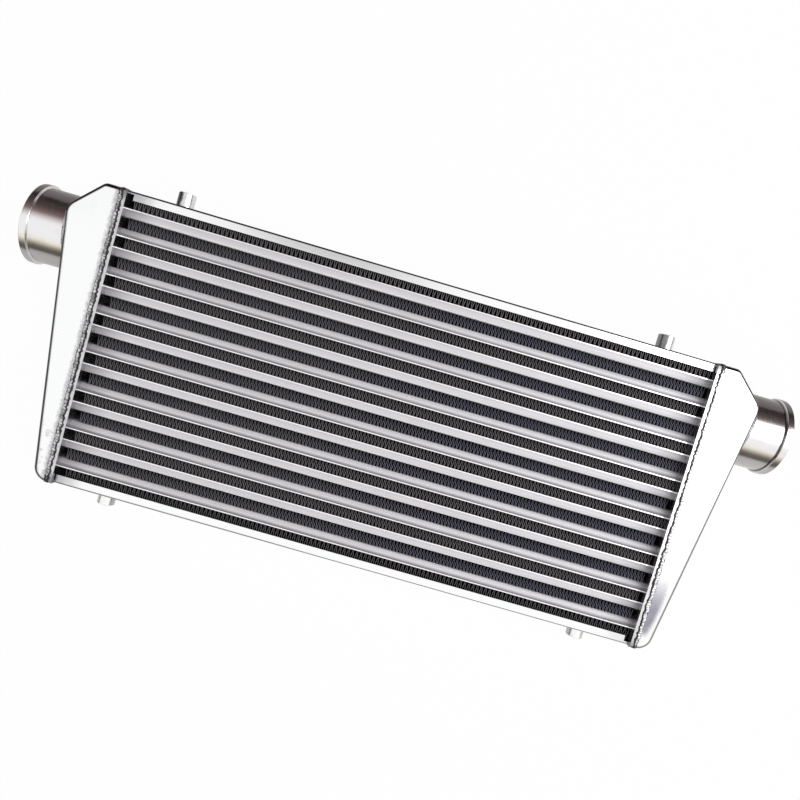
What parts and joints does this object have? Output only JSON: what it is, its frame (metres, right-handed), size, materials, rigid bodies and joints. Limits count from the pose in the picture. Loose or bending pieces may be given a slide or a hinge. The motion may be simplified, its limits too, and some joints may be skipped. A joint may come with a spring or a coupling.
{
  "type": "intercooler",
  "caption": "Flat charge air cooler: a core of tubes and folded fins between tapered end tanks, each with a beaded hose pipe, and threaded bosses on its side channels.",
  "frame": {"origin": "under the middle of the whole cooler, on the surface that it lies on", "axes": "+X along the tubes towards the outlet pipe, +Y up the tanks towards both pipes, +Z out of the front face"},
  "size_m": [0.786, 0.3318, 0.0836],
  "materials": {
    "tube": "matte extruded aluminium, as brazed",
    "fin": "thin aluminium sheet, dark in the depth of the core",
    "channel": "polished aluminium plate",
    "header_plate": "polished aluminium plate",
    "tank": "polished aluminium sheet",
    "weld": "rippled aluminium weld bead",
    "pipe": "bright turned aluminium tube",
    "boss": "turned aluminium bar"
  },
  "bodies": {
    "root": {"tube_01": "tube", "tube_02": "tube", "tube_03": "tube", "tube_04": "tube", "tube_05": "tube", "tube_06": "tube", "tube_07": "tube", "tube_08": "tube", "tube_09": "tube", "tube_10": "tube", "tube_11": "tube", "tube_12": "tube", "tube_13": "tube", "tube_14": "tube", "fin_row_01": "fin", "fin_row_02": "fin", "fin_row_03": "fin", "fin_row_04": "fin", "fin_row_05": "fin", "fin_row_06": "fin", "fin_row_07": "fin", "fin_row_08": "fin", "fin_row_09": "fin", "fin_row_10": "fin", "fin_row_11": "fin", "fin_row_12": "fin", "fin_row_13": "fin", "fin_row_14": "fin", "fin_row_15": "fin", "top_channel": "channel", "bottom_channel": "channel", "right_header_plate": "header_plate", "left_header_plate": "header_plate", "right_tank": "tank", "left_tank": "tank", "right_tank_weld": "weld", "left_tank_weld": "weld", "inlet_and_outlet_pipes": "pipe", "mounting_bosses": "boss"}
  },
  "joints": []
}
